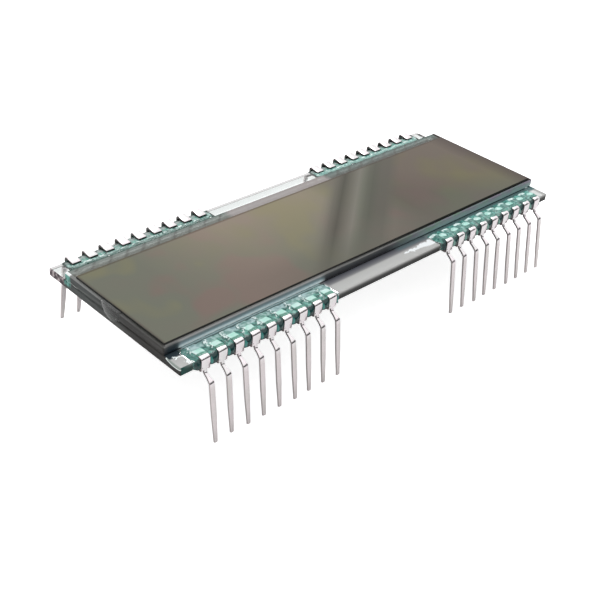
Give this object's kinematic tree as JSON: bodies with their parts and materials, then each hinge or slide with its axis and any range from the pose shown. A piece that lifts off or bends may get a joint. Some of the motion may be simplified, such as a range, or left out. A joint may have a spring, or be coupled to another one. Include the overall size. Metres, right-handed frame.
{
  "type": "segment lcd",
  "caption": "Reflective segment liquid-crystal display: two bonded glass plates with polarizing films and clip-on pins along both long edges.",
  "frame": {"origin": "bottom centre, on the plane of the pins' tips", "axes": "+X along the long side, to the right when the fill port's plug is at the left; +Y towards the long side with the wide bare strip of glass beside the front film; +Z out of the viewing face"},
  "size_m": [0.0703, 0.0318, 0.0119],
  "materials": {
    "glass": "polished, ground edges",
    "seal": "cured epoxy",
    "liquid_crystal": "clear liquid layer",
    "end_seal": "cured clear adhesive",
    "silver_paste": "printed silver paste",
    "front_film": "smooth polarizing film",
    "rear_film": "silvery polarizing film",
    "tinned_metal": "bright tin plate",
    "adhesive": "translucent light-cured adhesive"
  },
  "bodies": {
    "root": {"rear_glass": "glass", "front_glass": "glass", "seal_frame": "seal", "liquid_crystal": "liquid_crystal", "end_seal": "end_seal", "transfer_dots": "silver_paste", "front_polarizer": "front_film", "rear_polarizer": "rear_film", "pin_front_left_1": "tinned_metal", "pin_front_left_2": "tinned_metal", "pin_front_left_3": "tinned_metal", "pin_front_left_4": "tinned_metal", "pin_front_left_5": "tinned_metal", "pin_front_left_6": "tinned_metal", "pin_front_left_7": "tinned_metal", "pin_front_left_8": "tinned_metal", "pin_front_left_9": "tinned_metal", "pin_front_right_1": "tinned_metal", "pin_front_right_2": "tinned_metal", "pin_front_right_3": "tinned_metal", "pin_front_right_4": "tinned_metal", "pin_front_right_5": "tinned_metal", "pin_front_right_6": "tinned_metal", "pin_front_right_7": "tinned_metal", "pin_front_right_8": "tinned_metal", "pin_front_right_9": "tinned_metal", "pin_back_left_1": "tinned_metal", "pin_back_left_2": "tinned_metal", "pin_back_left_3": "tinned_metal", "pin_back_left_4": "tinned_metal", "pin_back_left_5": "tinned_metal", "pin_back_left_6": "tinned_metal", "pin_back_left_7": "tinned_metal", "pin_back_left_8": "tinned_metal", "pin_back_left_9": "tinned_metal", "pin_back_right_1": "tinned_metal", "pin_back_right_2": "tinned_metal", "pin_back_right_3": "tinned_metal", "pin_back_right_4": "tinned_metal", "pin_back_right_5": "tinned_metal", "pin_back_right_6": "tinned_metal", "pin_back_right_7": "tinned_metal", "pin_back_right_8": "tinned_metal", "pin_back_right_9": "tinned_metal", "glue_front_left": "adhesive", "glue_front_right": "adhesive", "glue_back_left": "adhesive", "glue_back_right": "adhesive"}
  },
  "joints": []
}
